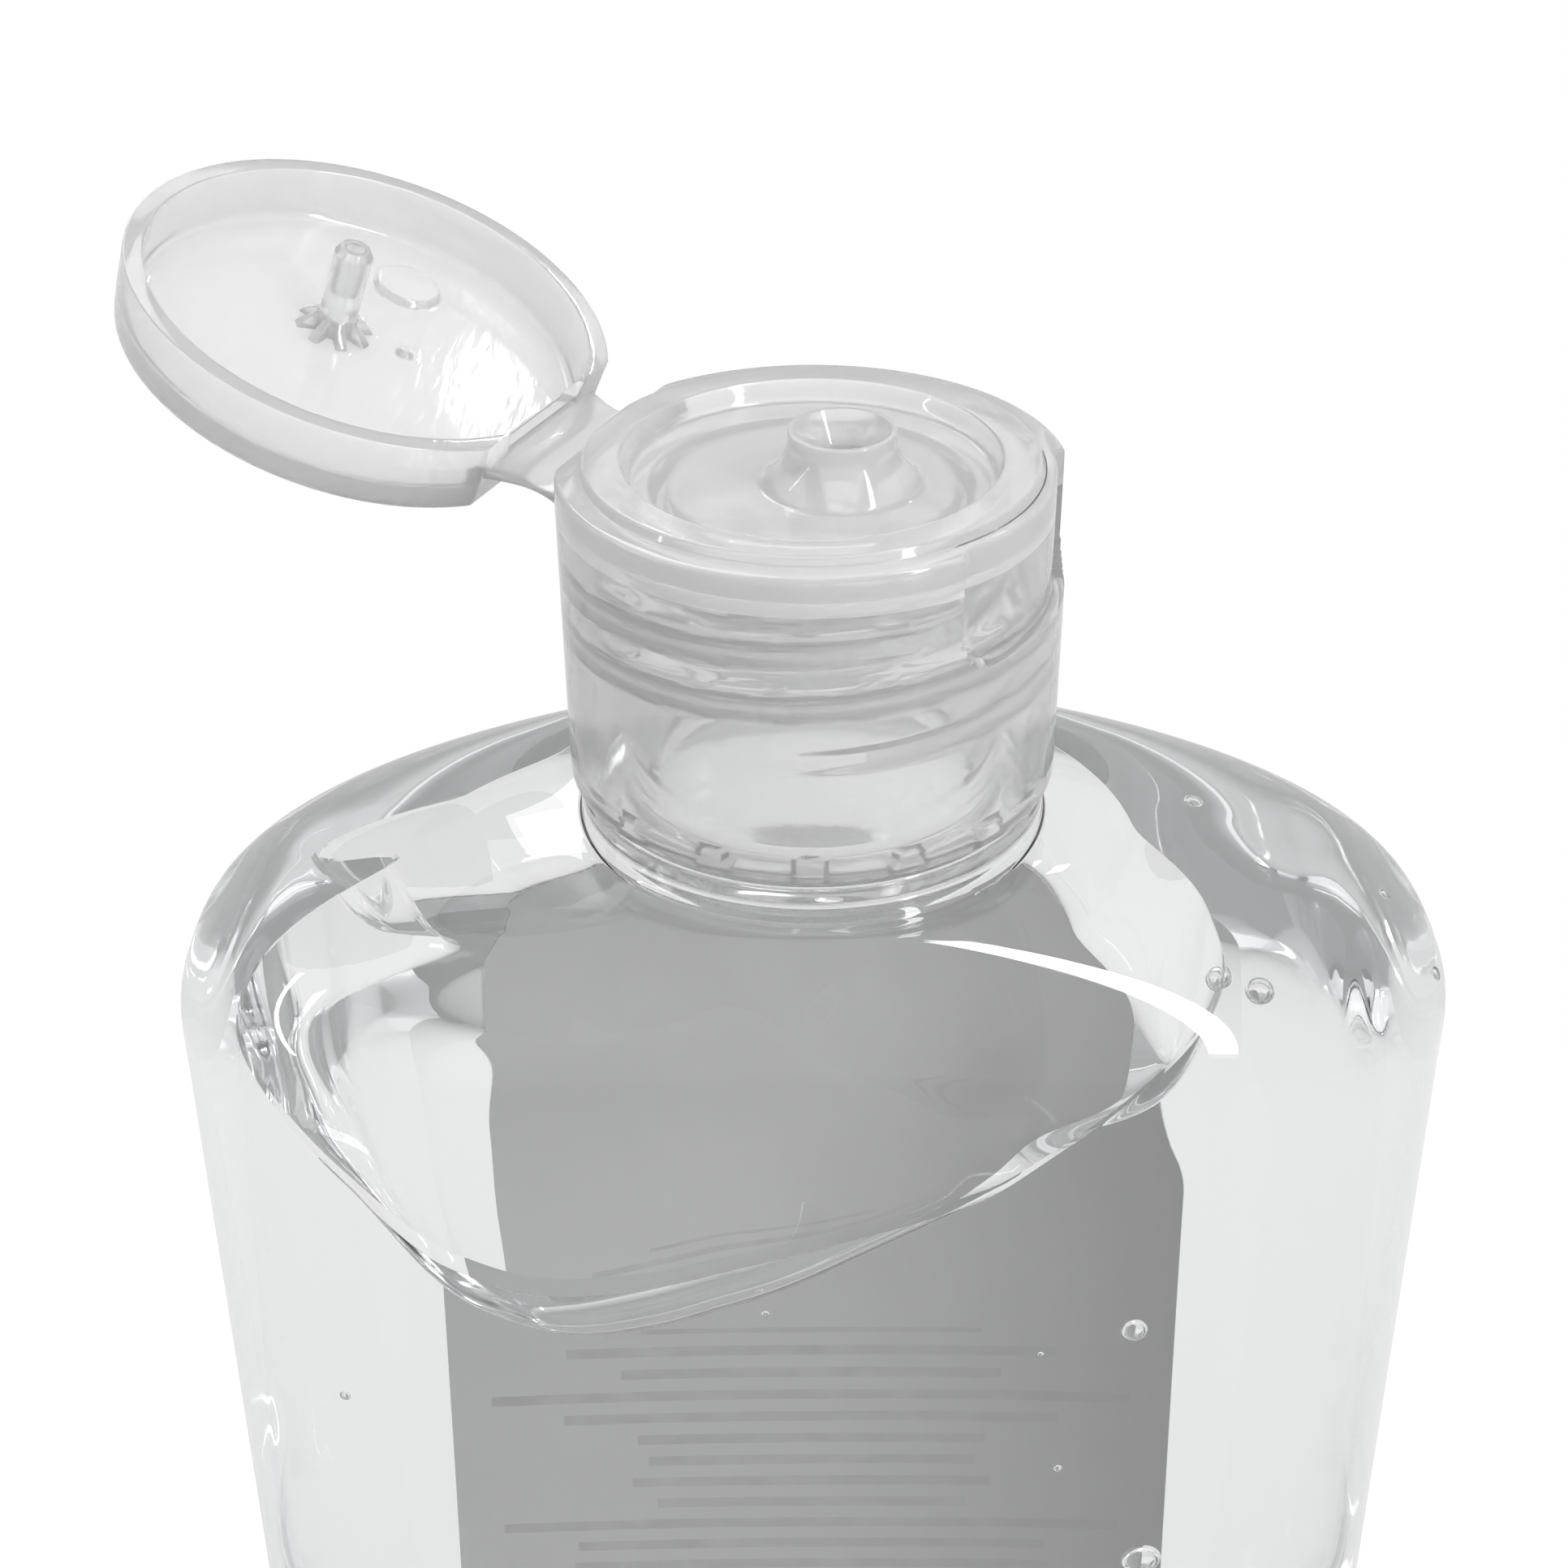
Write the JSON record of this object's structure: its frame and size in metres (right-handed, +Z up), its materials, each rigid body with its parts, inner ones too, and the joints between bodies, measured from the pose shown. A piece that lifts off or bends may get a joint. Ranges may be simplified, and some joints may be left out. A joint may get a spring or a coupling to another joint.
{
  "type": "hand sanitizer bottle",
  "caption": "Clear oval bottle of gel with a label on its back and a translucent flip-top screw closure, lid open.",
  "frame": {"origin": "middle of the ring that the bottle stands on, in the plane of that ring", "axes": "+Z up along the neck, X across the long side of the bottle, +Y towards the labelled back"},
  "size_m": [0.077, 0.0448, 0.1704],
  "materials": {
    "clear_bottle_plastic": "clear, smooth and glossy",
    "clear_gel": "clear and wet",
    "label_film": "printed film, satin",
    "natural_closure_plastic": "translucent, moulded, semi-gloss"
  },
  "bodies": {
    "bottle": {"bottle": "clear_bottle_plastic", "gel": "clear_gel", "back_label": "label_film"},
    "closure": {"cap_base": "natural_closure_plastic"},
    "lid": {"lid": "natural_closure_plastic"}
  },
  "joints": [
    {"name": "closure_turn", "type": "hinge", "parent": "bottle", "child": "closure", "pos_m": [0, 0, 0.16], "axis": [0, 0, 1], "range_deg": [0, 720]},
    {"name": "lid_flip", "type": "hinge", "parent": "closure", "child": "lid", "pos_m": [-0.01287, 0.006, 0.16], "axis": [0.4226, 0.9063, 0], "range_deg": [-10, 158]}
  ]
}
